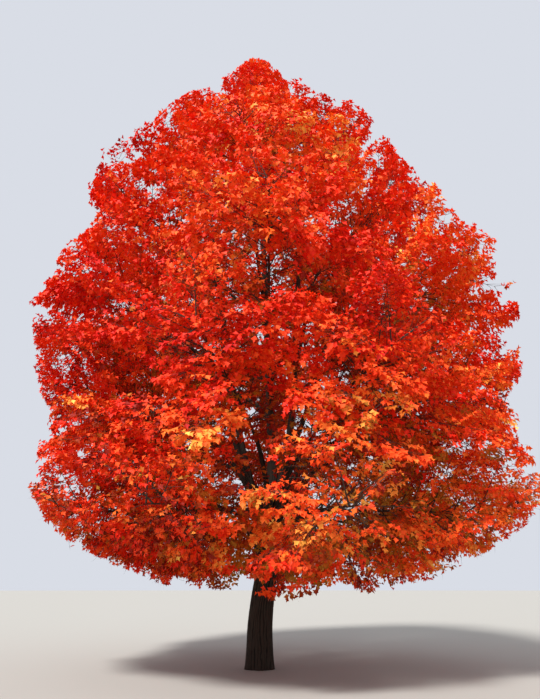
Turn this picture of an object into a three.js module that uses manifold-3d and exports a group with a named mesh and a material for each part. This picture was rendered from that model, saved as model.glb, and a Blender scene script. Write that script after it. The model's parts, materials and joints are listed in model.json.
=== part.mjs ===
// A sugar maple in autumn leaf: a trunk with its leaders and boughs, and a mass of foliage at the tip
// of each. Millimetres, +Z up. The origin is the middle of the flat cut at ground level, and -Y is the
// front.
import * as THREE from "three";
import { mergeVertices } from "three/addons/utils/BufferGeometryUtils.js";
import Module from "manifold-3d";

// The crown's outline: its radius over its height, how far its axis stands to the side, and how far a
// leaf's corner may stand proud of it
const CROWN = {
  top: 19400,
  widest: 7500,
  widestRadius: 6200,
  skirt: 1000,
  upperPower: 1.5,
  lowerPower: 7,
  shiftAtGround: 590,
  shiftPerHeight: -0.045,
  proud: 450,
};

// The trunk, which bends to the side under its fork, leans back above it, and runs on to the crest
const TRUNK = {
  groundRadius: 300,
  forkHeight: 3600,
  forkRadius: 215,
  leaderRadius: 130,
  leaderFade: 450,
  tipHeight: 15300,
  tipRadius: 42,
  bend: 300,
  bendFrom: 600,
  bendTo: 3300,
  leanFrom: 4500,
  leanPerHeight: 0.04,
  sides: 15,
  rings: 18,
  ringPower: 1.6,
};
const FLARE = { size: 24, height: 220, lobes: 5, lobeDepth: 0.6, lobeTurn: 1.1, oval: 0.25 };

// Each tier of boughs: the directions and the height of its masses, their half sizes (outward, sideways,
// up) and their tilt, and then where its boughs start and how they run. Angles are in degrees, counted
// from +X towards +Y.
const TIERS = [
  {
    name: "skirt",
    turns: [207, 241, 280, 333, 31, 90, 149],
    height: 3000,
    lift: 300,
    half: [2500, 3000, 1700],
    tilt: -6,
    trunkHeight: 2150,
    trunkStep: 95,
    leaderShare: 0,
    radius: 60,
    startRise: 32,
    endRise: -4,
  },
  {
    name: "lower",
    turns: [206, 252, 294, 334, 30, 92, 150],
    height: 5500,
    lift: 500,
    half: [2600, 3100, 2300],
    tilt: 8,
    trunkHeight: 2850,
    trunkStep: 105,
    leaderShare: 0,
    radius: 84,
    startRise: 50,
    endRise: 22,
  },
  {
    name: "middle",
    turns: [205, 268, 335, 33, 90, 147],
    height: 8350,
    lift: 450,
    half: [2600, 3300, 2500],
    tilt: 18,
    trunkHeight: 5100,
    trunkStep: 130,
    leaderShare: 0.2,
    radius: 66,
    startRise: 56,
    endRise: 34,
  },
  {
    name: "upper",
    turns: [200, 264, 337, 50, 128],
    height: 11300,
    lift: 450,
    half: [2400, 3100, 2500],
    tilt: 30,
    trunkHeight: 7900,
    trunkStep: 130,
    leaderShare: 0.5,
    radius: 55,
    startRise: 62,
    endRise: 44,
  },
];
// The leaders part from the trunk round its fork and turn upright
const LEADERS = {
  name: "leader",
  turns: [196, 330, 78],
  height: 14200,
  lift: 300,
  half: [2300, 2900, 2500],
  tilt: 45,
  trunkHeight: 2950,
  trunkStep: 340,
  leaderShare: 0,
  radius: 110,
  startRise: 42,
  endRise: 78,
};
const CREST = { height: 16950, half: [2450, 2200, 2200], tilt: 90 };
const TURN_JITTER = 8;
const LEADER_REACH = 40;

// Limbs
const LIMB_TIP_RADIUS = 40;
const BOUGH = { sides: 6, steps: 5, startArm: 0.38, endArm: 0.38 };
const LEADER = { sides: 8, steps: 9, startArm: 0.14, endArm: 0.38 };
const COLLAR_SHARE = 0.35;
const COLLAR_LENGTH = 260;
const SEAT_GAP = 0.3;
const SAMPLE_STEP = 80;

// Foliage: twigs in opposite pairs, each pair a quarter turn from the last, and leaves that each stand for
// a spray
const SPACE_GAP = 40;
const STEM = { entry: 0.74, reach: 0.98, radii: [44, 24], steps: 3, startArm: 0.38, endArm: 0.38 };
const PAIRS = { count: 3, from: 0.12, to: 0.8, angle: 58, twist: 46, rise: 0.25 };
const TWIG = { tries: [1, 0.86, 0.72, 0.58], radii: [22, 9], seat: 11, shortest: 250, sides: 4 };
const LEAF = { length: 1150, width: 1060, widestAt: 0.42, thickness: 28 };
const LEAF_PAIR = { at: 0.5, ahead: 0.5, aside: 0.9, droop: 0.3 };
const LEAF_TWIST = 0.5;
const LEAF_SPACING = 780;
const LIMB_CLEARANCE = 45;
const SKELETON_SEED = 20;
const FOLIAGE_SEED = 500;
const RANDOM = { times: 1664525, plus: 1013904223, range: 2 ** 32 };

const BARK = { color: 0x54453a, roughness: 0.95, metalness: 0 };
const LEAF_COLOURS = [0xd2260f, 0xe0431a, 0xb81a10, 0xe8691f];

const UP = new THREE.Vector3(0, 0, 1);
const SIDE = new THREE.Vector3(1, 0, 0);
const wasm = await Module();
wasm.setup();

// Small helpers
const radians = THREE.MathUtils.degToRad;
const mix = (from, to, share) => from + (to - from) * share;

function seededRandom(seed) {
  let state = seed;
  return () => {
    state = (Math.imul(state, RANDOM.times) + RANDOM.plus) >>> 0;
    return state / RANDOM.range;
  };
}

function outward(azimuth, rise) {
  const level = Math.cos(rise);
  return new THREE.Vector3(Math.cos(azimuth) * level, Math.sin(azimuth) * level, Math.sin(rise));
}

function arc(from, startAlong, startArm, to, endAlong, endArm) {
  const reach = from.distanceTo(to);
  return new THREE.CubicBezierCurve3(
    from,
    from.clone().addScaledVector(startAlong, startArm * reach),
    to.clone().addScaledVector(endAlong, -endArm * reach),
    to,
  );
}

// Solids. A loft bends a cylinder's rings onto the given rings. Its section gives the two half widths at a
// ring and an angle. A pointed loft closes in the centre of its last ring.
function reshape(geometry, move) {
  const positions = geometry.attributes.position;
  const point = new THREE.Vector3();
  for (let i = 0; i < positions.count; i++) {
    positions.setXYZ(i, ...move(point.fromBufferAttribute(positions, i)));
  }
  geometry.deleteAttribute("normal");
  geometry.deleteAttribute("uv");
  const merged = mergeVertices(geometry);
  const vertProperties = new Float32Array(merged.attributes.position.array);
  const triVerts = new Uint32Array(merged.index.array);
  return new wasm.Manifold(new wasm.Mesh({ numProp: 3, vertProperties, triVerts }));
}

function loft(rings, sides, section, isPointed = false) {
  const last = rings.length - 1;
  const cylinder = new THREE.CylinderGeometry(isPointed ? 0 : 1, 1, last, sides, last);
  return reshape(cylinder, ({ x, y, z }) => {
    const ring = Math.round(y + last / 2);
    const angle = Math.atan2(x, z);
    const isCentre = Math.abs(x) + Math.abs(z) === 0;
    const { centre, across, beside } = rings[ring];
    const [wide, deep] = isCentre ? [0, 0] : section(ring, angle);
    const moved = centre.clone().addScaledVector(across, wide * Math.cos(angle));
    return moved.addScaledVector(beside, deep * Math.sin(angle));
  });
}

function ringsAlong(centres, tangents, side) {
  let across = side;
  return centres.map((centre, i) => {
    across = across.clone().addScaledVector(tangents[i], -across.dot(tangents[i])).normalize();
    return { centre, across, beside: tangents[i].clone().cross(across) };
  });
}

function largestPiece(solid) {
  return solid.decompose().reduce((best, piece) => (piece.volume() > best.volume() ? piece : best));
}

// The crown's radius at a height
function crownRadius(height) {
  const above = height > CROWN.widest;
  const share = (height - CROWN.widest) / ((above ? CROWN.top : CROWN.skirt) - CROWN.widest);
  return CROWN.widestRadius * (1 - share ** (above ? CROWN.upperPower : CROWN.lowerPower));
}

function crownShift(height) {
  return CROWN.shiftAtGround + CROWN.shiftPerHeight * height;
}

// The trunk's line, radius and root flare
function trunkPoint(height) {
  const bend = TRUNK.bend * THREE.MathUtils.smoothstep(height, TRUNK.bendFrom, TRUNK.bendTo);
  return new THREE.Vector3(bend - TRUNK.leanPerHeight * Math.max(height - TRUNK.leanFrom, 0), 0, height);
}

function trunkRadius(height) {
  const rise = height / TRUNK.forkHeight;
  if (rise <= 1) return mix(TRUNK.groundRadius, TRUNK.forkRadius, rise);
  const beyond = height - TRUNK.forkHeight;
  const leader = mix(TRUNK.leaderRadius, TRUNK.tipRadius, beyond / (TRUNK.tipHeight - TRUNK.forkHeight));
  return leader + (TRUNK.forkRadius - TRUNK.leaderRadius) * Math.exp(-beyond / TRUNK.leaderFade);
}

function flareAt(height, angle) {
  const lobes = FLARE.lobeDepth * Math.cos(FLARE.lobes * angle + FLARE.lobeTurn);
  const oval = FLARE.oval * Math.cos(2 * angle);
  return FLARE.size * (1 + lobes + oval) * Math.exp(-height / FLARE.height);
}

// Limbs. Each is a solid and a slightly fatter one, which later limbs are cut by, with samples of its line.
function makeTrunk() {
  const centres = Array.from({ length: TRUNK.rings + 1 }, (_, i) =>
    trunkPoint(TRUNK.tipHeight * (i / TRUNK.rings) ** TRUNK.ringPower),
  );
  const rings = ringsAlong(centres, centres.map(() => UP), SIDE);
  const build = (extra) =>
    loft(rings, TRUNK.sides, (ring, angle) => {
      const height = centres[ring].z;
      const radius = trunkRadius(height) + flareAt(height, angle) + extra;
      return [radius, radius];
    });
  const samples = Array.from({ length: Math.ceil(TRUNK.tipHeight / SAMPLE_STEP) }, (_, i) => ({
    at: trunkPoint(i * SAMPLE_STEP),
    radius: trunkRadius(i * SAMPLE_STEP),
  }));
  const tip = centres.at(-1);
  return { name: "trunk", samples, tip, along: UP, solid: build(0), fat: build(2 * SEAT_GAP) };
}

function makeBough({ name, curve, baseRadius, form, side }) {
  const length = curve.getLength();
  const radiusAt = (share) => {
    const collar = COLLAR_SHARE * baseRadius * Math.exp((-share * length) / COLLAR_LENGTH);
    return mix(baseRadius, LIMB_TIP_RADIUS, share) + collar;
  };
  const shares = Array.from({ length: form.steps + 1 }, (_, i) => i / form.steps);
  const centres = shares.map((share) => curve.getPoint(share));
  const tangents = shares.map((share) => curve.getTangent(share));
  const rings = ringsAlong(centres, tangents, side);
  const build = (extra) =>
    loft(rings, form.sides, (ring) => {
      const radius = radiusAt(shares[ring]) + extra;
      return [radius, radius];
    });
  const count = Math.ceil(length / SAMPLE_STEP);
  const samples = Array.from({ length: count + 1 }, (_, i) => ({
    at: curve.getPoint(i / count),
    radius: radiusAt(i / count),
  }));
  const along = tangents.at(-1);
  return { name, curve, samples, tip: curve.v3, along, solid: build(0), fat: build(2 * SEAT_GAP) };
}

// A mass's own space: an ellipsoid with axes outward, sideways and up, cut by flat walls towards its
// neighbours
function makeSpace(name, centre, azimuth, { half, tilt }) {
  const axes = [outward(azimuth, radians(tilt)), outward(azimuth + Math.PI / 2, 0)];
  axes.push(axes[0].clone().cross(axes[1]));
  return { name, centre, azimuth, axes, half, walls: [] };
}

function massCentre(tier, azimuth, height) {
  const radius = crownRadius(height) - tier.half[0] * Math.cos(radians(tier.tilt));
  const centre = outward(azimuth, 0).multiplyScalar(radius);
  centre.x += crownShift(height);
  centre.z = height;
  return centre;
}

function reachAlong({ axes, half }, direction) {
  return 1 / Math.hypot(...axes.map((axis, i) => axis.dot(direction) / half[i]));
}

function raiseWalls(spaces) {
  for (const space of spaces) {
    for (const other of spaces.filter((candidate) => candidate !== space)) {
      const normal = other.centre.clone().sub(space.centre);
      const apart = normal.length();
      normal.normalize();
      const own = reachAlong(space, normal);
      const limit = (apart * own) / (own + reachAlong(other, normal)) - SPACE_GAP / 2;
      if (limit < own) space.walls.push({ normal, limit });
    }
  }
}

// How far a point can go along a direction before it leaves the space, or -1 for a point outside
function roomAlong({ centre, axes, half, walls }, point, direction) {
  const offset = point.clone().sub(centre);
  const from = new THREE.Vector3(...axes.map((axis, i) => axis.dot(offset) / half[i]));
  const step = new THREE.Vector3(...axes.map((axis, i) => axis.dot(direction) / half[i]));
  const [a, b, c] = [step.lengthSq(), from.dot(step), from.lengthSq() - 1];
  if (c > 0) return -1;
  const rooms = walls.map(({ normal, limit }) => {
    const left = limit - normal.dot(offset);
    const speed = normal.dot(direction);
    if (left < 0) return -1;
    return speed > 0 ? left / speed : Infinity;
  });
  return Math.min((Math.sqrt(b * b - a * c) - b) / a, ...rooms);
}

// A point is inside if it is in the space and hardly proud of the crown's outline
function isInside(space, point) {
  const aside = Math.hypot(point.x - crownShift(point.z), point.y);
  return aside <= crownRadius(point.z) + CROWN.proud && roomAlong(space, point, UP) >= 0;
}

// A leaf is a flat kite, thickest where it is widest. Its frame is its root and its three directions.
function leafFrame(base, along, facing) {
  const across = facing.clone().cross(along).normalize();
  return { base, along, across, normal: along.clone().cross(across) };
}

function leafPoint({ base, along, across, normal }, x, y, z) {
  return base.clone().addScaledVector(along, x).addScaledVector(across, y).addScaledVector(normal, z);
}

function leafRim(frame) {
  const middle = LEAF.widestAt * LEAF.length;
  return {
    tip: leafPoint(frame, LEAF.length, 0, 0),
    left: leafPoint(frame, middle, LEAF.width / 2, 0),
    right: leafPoint(frame, middle, -LEAF.width / 2, 0),
    middle: leafPoint(frame, middle, 0, 0),
  };
}

function leafSolid(frame) {
  const middle = LEAF.widestAt * LEAF.length;
  return reshape(new THREE.OctahedronGeometry(1), ({ x, y, z }) => {
    const ahead = middle + x * (x > 0 ? LEAF.length - middle : middle);
    return leafPoint(frame, ahead, (y * LEAF.width) / 2, (z * LEAF.thickness) / 2);
  });
}

// A four-sided twig through its points. With a leaf at its end, it widens into that leaf and closes in its
// tip.
function twigSolid({ points, along, radii }, frame, hasLeaf) {
  const last = points.length - 1;
  const tangents = points.map((point, i) => (i ? point.clone().sub(points[i - 1]).normalize() : along));
  const rings = ringsAlong(points, tangents, frame.across);
  if (hasLeaf) {
    const { middle, tip } = leafRim(frame);
    for (const centre of [middle, tip]) rings.push({ centre, across: frame.across, beside: frame.normal });
  }
  const section = (ring) => {
    const radius = mix(...radii, ring / last);
    return ring > last ? [LEAF.width / 2, LEAF.thickness / 2] : [radius, radius];
  };
  return loft(rings, TWIG.sides, section, hasLeaf);
}

// Twigs and leaves keep clear of the limbs
function twigIsClear({ points, radii }, limbs) {
  const line = new THREE.Line3(points[0], points.at(-1));
  const nearest = new THREE.Vector3();
  return limbs.every(({ samples }) =>
    samples.every(({ at, radius }) => {
      line.closestPointToPoint(at, true, nearest);
      return nearest.distanceTo(at) > radius + radii[0] + LIMB_CLEARANCE;
    }),
  );
}

function leafIsClear(frame, limbs) {
  const { tip, left, right } = leafRim(frame);
  const halves = [new THREE.Triangle(frame.base, left, right), new THREE.Triangle(tip, left, right)];
  const nearest = new THREE.Vector3();
  return limbs.every(({ samples }) =>
    samples.every(({ at, radius }) => {
      const clearance = radius + LEAF.thickness / 2 + LIMB_CLEARANCE;
      if (at.distanceTo(frame.base) > LEAF.length + clearance) return true;
      return halves.every((half) => half.closestPointToPoint(at, nearest).distanceTo(at) > clearance);
    }),
  );
}

// The growth rule. The stem runs from its limb's tip through the middle of the mass to the far side. Twigs
// leave it in opposite pairs, each pair a quarter turn from the last, and can run until their last leaf
// meets the edge.
function growTwigs(space, limb, random) {
  const foot = limb.tip.clone().addScaledVector(limb.along, SEAT_GAP);
  const [ahead, sideways] = space.axes;
  const reach = Math.max(STEM.reach * roomAlong(space, space.centre, ahead) - LEAF.length, 0);
  const end = space.centre.clone().addScaledVector(ahead, reach);
  const curve = arc(foot, limb.along, STEM.startArm, end, ahead, STEM.endArm);
  const points = Array.from({ length: STEM.steps + 1 }, (_, i) => curve.getPoint(i / STEM.steps));
  const twigs = [[{ points, along: limb.along, radii: STEM.radii }]];
  let side = limb.along.clone().cross(sideways).normalize();
  for (let pair = 0; pair < PAIRS.count; pair++) {
    const share = mix(PAIRS.from, PAIRS.to, pair / (PAIRS.count - 1));
    const start = curve.getPoint(share);
    const along = curve.getTangent(share);
    const spread = radians(PAIRS.angle);
    side = along.clone().cross(side).normalize();
    side.applyAxisAngle(along, radians(PAIRS.twist) * (random() - 0.5));
    for (const sign of [-1, 1]) {
      const direction = along.clone().multiplyScalar(Math.cos(spread));
      direction.addScaledVector(side, sign * Math.sin(spread));
      direction.addScaledVector(UP, PAIRS.rise * random()).normalize();
      const room = roomAlong(space, start, direction);
      const seat = start.clone().addScaledVector(direction, TWIG.seat);
      const lengths = TWIG.tries.map((part) => Math.max(part * room - LEAF.length, TWIG.shortest));
      twigs.push(lengths.map((length) => {
        const tip = start.clone().addScaledVector(direction, length);
        return { points: [seat, tip], along: direction, radii: TWIG.radii };
      }));
    }
  }
  return twigs;
}

// A twig's three leaves: one at its end and a pair on its sides
function leafFrames(space, { points }, turns) {
  const end = points.at(-1);
  const reach = end.clone().sub(points.at(-2));
  const along = reach.clone().normalize();
  const facing = end.clone().sub(space.centre).normalize().add(UP).normalize();
  const across = facing.clone().cross(along).normalize();
  const twisted = turns.map((turn) => facing.clone().addScaledVector(across, LEAF_TWIST * (turn - 0.5)));
  const pair = [-1, 1].map((sign, i) => {
    const direction = along.clone().multiplyScalar(LEAF_PAIR.ahead);
    direction.addScaledVector(across, sign * LEAF_PAIR.aside);
    direction.addScaledVector(UP, -LEAF_PAIR.droop * turns[i + 1]).normalize();
    return leafFrame(end.clone().addScaledVector(reach, LEAF_PAIR.at - 1), direction, twisted[i + 1]);
  });
  return [leafFrame(end, along, twisted[0]), ...pair];
}

function makeMass(space, limb, limbs, seed) {
  const random = seededRandom(seed);
  const solids = [];
  const placed = [];
  const sideLeaves = [];
  const others = limbs.filter((other) => other !== limb);
  const accepts = (frame) => {
    const { middle, tip, left, right } = leafRim(frame);
    const isCrowded = placed.some((other) => other.distanceTo(middle) < LEAF_SPACING);
    const fits = [tip, left, right].every((corner) => isInside(space, corner));
    return !isCrowded && fits && leafIsClear(frame, limbs);
  };
  for (const tries of growTwigs(space, limb, random)) {
    const turns = [random(), random(), random()];
    const isStem = tries.length === 1;
    const open = tries.filter((choice) => isStem || twigIsClear(choice, others));
    const twig = open.find((choice) => accepts(leafFrames(space, choice, turns)[0])) ?? open.at(-1);
    if (!twig || !isInside(space, twig.points.at(-1))) continue;
    const [last, ...pair] = leafFrames(space, twig, turns);
    const hasLeaf = accepts(last);
    if (hasLeaf) placed.push(leafRim(last).middle);
    solids.push(twigSolid(twig, last, hasLeaf));
    sideLeaves.push(...pair);
  }
  for (const frame of sideLeaves) {
    if (!accepts(frame)) continue;
    placed.push(leafRim(frame).middle);
    solids.push(leafSolid(frame));
  }
  return largestPiece(solids.reduce((mass, solid) => mass.add(solid)));
}

// The plan of the crown: a space for each mass, and the limb that will carry it
const random = seededRandom(SKELETON_SEED);
const plans = [LEADERS, ...TIERS].flatMap((tier) =>
  tier.turns.map((turn, index) => {
    const azimuth = radians(turn + (random() - 0.5) * TURN_JITTER);
    const height = tier.height + (random() - 0.5) * tier.lift;
    const name = `${tier.name}_${index + 1}`;
    const space = makeSpace(`leaves_${name}`, massCentre(tier, azimuth, height), azimuth, tier);
    return { tier, index, name, space };
  }),
);
const crest = makeSpace("leaves_crest", trunkPoint(CREST.height), 0, CREST);
raiseWalls([...plans.map(({ space }) => space), crest]);

// A bough starts on the trunk, or part of the way up the leader under it, and ends where it enters its mass
function boughCurve({ tier, index, space }, form, leaders) {
  const leader = leaders.find(({ azimuth }) => {
    const apart = THREE.MathUtils.euclideanModulo(space.azimuth - azimuth + Math.PI, 2 * Math.PI) - Math.PI;
    return tier.leaderShare > 0 && Math.abs(apart) < radians(LEADER_REACH);
  });
  const height = tier.trunkHeight + tier.trunkStep * ((2 * index) % tier.turns.length);
  const from = leader ? leader.limb.curve.getPoint(tier.leaderShare) : trunkPoint(height);
  const endAlong = outward(space.azimuth, radians(tier.endRise));
  const inward = endAlong.clone().negate();
  const depth = STEM.entry * roomAlong(space, space.centre, inward);
  const to = space.centre.clone().addScaledVector(inward, depth);
  const startAlong = outward(Math.atan2(to.y - from.y, to.x - from.x), radians(tier.startRise));
  return arc(from, startAlong, form.startArm, to, endAlong, form.endArm);
}

const trunk = makeTrunk();
const limbs = [trunk];
const leaders = [];
const masses = [{ space: crest, limb: trunk }];
for (const plan of plans) {
  const isLeader = plan.tier === LEADERS;
  const form = isLeader ? LEADER : BOUGH;
  const limb = makeBough({
    name: isLeader ? plan.name : `bough_${plan.name}`,
    curve: boughCurve(plan, form, leaders),
    baseRadius: plan.tier.radius,
    form,
    side: plan.space.axes[1],
  });
  limb.solid = largestPiece(limbs.reduce((rest, { fat }) => rest.subtract(fat), limb.solid));
  limbs.push(limb);
  masses.push({ space: plan.space, limb });
  if (isLeader) leaders.push({ limb, azimuth: plan.space.azimuth });
}

// The scene graph: a group at the foot of each limb, with the limb and the mass at its tip
function meshOf(name, solid, look, foot, at) {
  const { vertProperties, triVerts } = solid.getMesh();
  const geometry = new THREE.BufferGeometry();
  geometry.setAttribute("position", new THREE.BufferAttribute(new Float32Array(vertProperties), 3));
  geometry.setIndex(new THREE.BufferAttribute(new Uint32Array(triVerts), 1));
  geometry.translate(-foot.x, -foot.y, -foot.z);
  const mesh = new THREE.Mesh(geometry, new THREE.MeshStandardMaterial(look));
  mesh.name = name;
  mesh.position.copy(at);
  return mesh;
}

const tree = new THREE.Group();
masses.forEach(({ space, limb }, i) => {
  const group = new THREE.Group();
  const foot = limb.samples[0].at;
  const look = { color: LEAF_COLOURS[i % LEAF_COLOURS.length], roughness: 0.6, metalness: 0 };
  const mass = makeMass(space, limb, limbs, FOLIAGE_SEED + i);
  group.position.copy(foot);
  group.add(meshOf(limb.name, limb.solid, BARK, foot, new THREE.Vector3()));
  group.add(meshOf(space.name, mass, look, limb.tip, limb.tip.clone().sub(foot)));
  tree.add(group);
});

export default tree;
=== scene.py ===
"""A sugar maple in autumn leaf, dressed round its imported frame. Metres, +Z up, and -Y is the front."""

import functools
import json
import math
from collections import namedtuple

import bpy
import numpy as np
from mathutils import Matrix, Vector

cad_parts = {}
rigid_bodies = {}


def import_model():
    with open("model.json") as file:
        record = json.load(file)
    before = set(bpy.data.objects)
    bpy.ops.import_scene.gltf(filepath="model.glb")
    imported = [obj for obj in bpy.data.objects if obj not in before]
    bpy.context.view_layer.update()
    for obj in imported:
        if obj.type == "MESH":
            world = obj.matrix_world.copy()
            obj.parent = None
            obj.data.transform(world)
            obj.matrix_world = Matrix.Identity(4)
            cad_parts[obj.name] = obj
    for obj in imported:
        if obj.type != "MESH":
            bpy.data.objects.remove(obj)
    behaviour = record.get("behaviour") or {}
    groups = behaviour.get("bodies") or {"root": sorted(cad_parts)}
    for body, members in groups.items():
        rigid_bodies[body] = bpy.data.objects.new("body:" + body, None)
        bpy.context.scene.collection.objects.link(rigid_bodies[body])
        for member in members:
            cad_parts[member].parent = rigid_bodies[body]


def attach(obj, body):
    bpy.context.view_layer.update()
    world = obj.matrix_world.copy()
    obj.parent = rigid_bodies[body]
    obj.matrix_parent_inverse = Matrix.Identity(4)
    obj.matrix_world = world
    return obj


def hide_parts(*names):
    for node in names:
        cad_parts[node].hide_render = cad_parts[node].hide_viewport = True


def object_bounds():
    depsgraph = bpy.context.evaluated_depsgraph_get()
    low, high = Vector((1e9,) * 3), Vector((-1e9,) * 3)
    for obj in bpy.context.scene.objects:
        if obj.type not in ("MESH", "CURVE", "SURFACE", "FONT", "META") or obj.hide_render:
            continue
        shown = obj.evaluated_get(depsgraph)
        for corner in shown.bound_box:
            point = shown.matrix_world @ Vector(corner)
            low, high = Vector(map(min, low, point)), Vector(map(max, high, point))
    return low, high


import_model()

CAD_BOX = [list(corner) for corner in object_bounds()]

bl_info = {
    "name": "Sugar maple in autumn leaf",
    "version": (1, 0, 0),
    "blender": (4, 5, 0),
    "location": "3D View > Sidebar > Maple",
    "description": "Bark, twigs and autumn leaves on the limbs of a sugar maple",
    "category": "Add Mesh",
}

BODY = "root"
UP = np.array([0.0, 0.0, 1.0])
EAST = np.array([1.0, 0.0, 0.0])
MM = 0.001

# The crown and the limbs, as the solids have them
CROWN = {
    "top": 19.4, "widest": 7.5, "widest_radius": 6.2, "skirt": 1.0, "upper_power": 1.5, "lower_power": 7,
    "shift_at_ground": 0.59, "shift_per_height": -0.045,
}
TRUNK = {
    "ground_radius": 0.3, "fork_height": 3.6, "fork_radius": 0.215, "top_radius": 0.13, "top_fade": 0.45,
    "tip_height": 15.3, "tip_radius": 0.042, "bend": 0.3, "bend_from": 0.6, "bend_to": 3.3,
    "lean_from": 4.5, "lean_per_height": 0.04,
}
FLARE = {"size": 0.024, "height": 0.22, "lobes": 5, "lobe_depth": 0.6, "lobe_turn": 1.1, "oval": 0.25}
LEADERS = {
    "name": "leader", "turns": [196, 330, 78], "height": 14.2, "lift": 0.3, "half": [2.3, 2.9, 2.5],
    "tilt": 45, "trunk_height": 2.95, "trunk_step": 0.34, "leader_share": 0, "radius": 0.11,
    "start_rise": 42, "end_rise": 78,
}
TIERS = [
    {
        "name": "skirt", "turns": [207, 241, 280, 333, 31, 90, 149], "height": 3.0, "lift": 0.3,
        "half": [2.5, 3.0, 1.7], "tilt": -6, "trunk_height": 2.15, "trunk_step": 0.095, "leader_share": 0,
        "radius": 0.06, "start_rise": 32, "end_rise": -4,
    },
    {
        "name": "lower", "turns": [206, 252, 294, 334, 30, 92, 150], "height": 5.5, "lift": 0.5,
        "half": [2.6, 3.1, 2.3], "tilt": 8, "trunk_height": 2.85, "trunk_step": 0.105, "leader_share": 0,
        "radius": 0.084, "start_rise": 50, "end_rise": 22,
    },
    {
        "name": "middle", "turns": [205, 268, 335, 33, 90, 147], "height": 8.35, "lift": 0.45,
        "half": [2.6, 3.3, 2.5], "tilt": 18, "trunk_height": 5.1, "trunk_step": 0.13, "leader_share": 0.2,
        "radius": 0.066, "start_rise": 56, "end_rise": 34,
    },
    {
        "name": "upper", "turns": [200, 264, 337, 50, 128], "height": 11.3, "lift": 0.45,
        "half": [2.4, 3.1, 2.5], "tilt": 30, "trunk_height": 7.9, "trunk_step": 0.13, "leader_share": 0.5,
        "radius": 0.055, "start_rise": 62, "end_rise": 44,
    },
]
CREST = {"name": "crest", "height": 16.95, "half": [2.45, 2.2, 2.2], "tilt": 90}
TURN_JITTER = 8
LEADER_REACH = 40
LIMB_TIP_RADIUS = 0.04
BOUGH_ARMS = (0.38, 0.38)
LEADER_ARMS = (0.14, 0.38)
COLLAR_SHARE = 0.35
COLLAR_LENGTH = 0.26
SAMPLE_STEP = 0.08
LENGTH_STEPS = 200
SPACE_GAP = 0.04
SKELETON_SEED = 20
FOLIAGE_SEED = 500
RANDOM_MULTIPLIER = 1664525
RANDOM_INCREMENT = 1013904223

# The outline that the fine growth fills. It has a waist, and bulges and dents, each with its direction, its
# height, how far it spreads each way and its size. Openings are given the same way, with the share of leaves
# left out, which is negative where more leaves grow. Lumps go all round: the number of waves, their turn with
# height and their size.
OUTLINE = {
    "top": 19.9, "widest": 8.2, "widest_radius": 6.0, "skirt": 1.0, "upper_power": 1.28, "lower_power": 6.6,
    "shift_at_ground": 0.77, "shift_per_height": -0.054,
}
WAIST = {"height": 5.2, "spread": 0.9, "size": -0.3}
BULGES = [
    (200, 13.5, 26, 1.9, 1.2), (207, 9.9, 22, 0.9, -0.35), (207, 7.4, 22, 1.0, 0.35),
    (207, 3.2, 25, 0.8, 0.25), (320, 14.0, 24, 1.1, 0.55), (325, 16.7, 38, 1.1, -0.6),
    (333, 8.0, 22, 1.2, 0.3), (333, 3.2, 22, 0.7, 0.2), (265, 1.7, 13, 0.6, 1.3),
]
OPENINGS = [
    (266, 3.5, 16, 0.8, 0.8), (288, 3.2, 16, 0.9, 0.5), (260, 7.3, 9, 0.8, 0.5),
    (298, 2.2, 14, 0.9, 0.85), (264, 1.9, 11, 0.6, -1.0),
]
LUMPS = [(5, 1.3, 0.08), (9, -2.1, 0.1), (16, 3.4, 0.09)]

# How far the fine growth may stand out of the solids' box at its low and its high ends, as shares of the
# box's sides
PROUD_LOW = (0.008, 0.008, 0)
PROUD_HIGH = (0.02, 0.012, 0.025)

# How far the fine growth reaches past the walls between the masses, so that neighbouring twigs interlace
INTERLACE = 0.14

# The growth rule of the solids: a stem, and twigs in opposite pairs, each pair a quarter turn from the last.
# Each leaf there stands for a spray of this length. A twig that would meet a limb is tried again at these
# shares of its length.
STEM = {"entry": 0.74, "reach": 0.98, "arms": (0.38, 0.38)}
PAIRS = {"count": 3, "from": 0.12, "to": 0.8, "angle": 58, "twist": 46, "rise": 0.25}
SPRAY_LENGTH = 1.15
TRIES = (1, 0.86, 0.72, 0.58)

# The finer growth, with lengths in metres and angles in degrees. Roll and tilt turn side twigs out of their
# plane, and the margin is a share of a leaf's reach that is kept free at their tips.
STEM_TIP = {
    "gap": 0.2, "reach": 0.9, "shortest": 0.1, "pairs": (0.35, 0.7), "twist": 0.4, "ahead": 0.6,
    "aside": 0.8, "rise": 0.2,
}
TWIG = {
    "reach": 0.97, "wall_gap": 0.2, "shares": (0.8, 0.96), "limb_gap": 0.06, "shortest": 0.3, "samples": 16,
}
SPRAY = {
    "first": 0.1, "angle": 50, "angle_jitter": 10, "roll": 16, "tilt": 0.2, "length": 0.85, "taper": 0.45,
    "shortest": 0.08, "margin": 0.6,
}
SHOOT = {
    "first": 0.05, "angle": 48, "angle_jitter": 12, "roll": 30, "tilt": 0.35, "length": 0.27, "taper": 0.3,
    "shortest": 0.03, "margin": 0.4,
}
SIDE_TWIGS = {"place_jitter": 0.5, "last_place": 0.98, "length_jitter": (0.7, 1.1), "steps": 5}
LEAF = {
    "pairs": (0.3, 0.7), "spread": (45, 75), "petiole": (0.6, 1.3), "droop": (0.15, 1.4),
    "size": (0.8, 1.15), "lift": 0.1, "toss": 0.3, "skyward": 0.75, "outward": 0.75, "loose": 0.33,
    "half_width": 0.52, "curl": 0.12,
}

# The last stretches of twigs and sprays, which bear leaves too, and the most that a stretch takes of its twig
SPRAY_END = 0.35
SHOOT_END = 0.12
END_SHARE = 0.6

# A twig whose level part is a smaller share of it than this is steep, and its spray may face any way
STEEP = 0.25

# How far round a mass's space limbs are looked for
LIMB_SEARCH = 0.3

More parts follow.
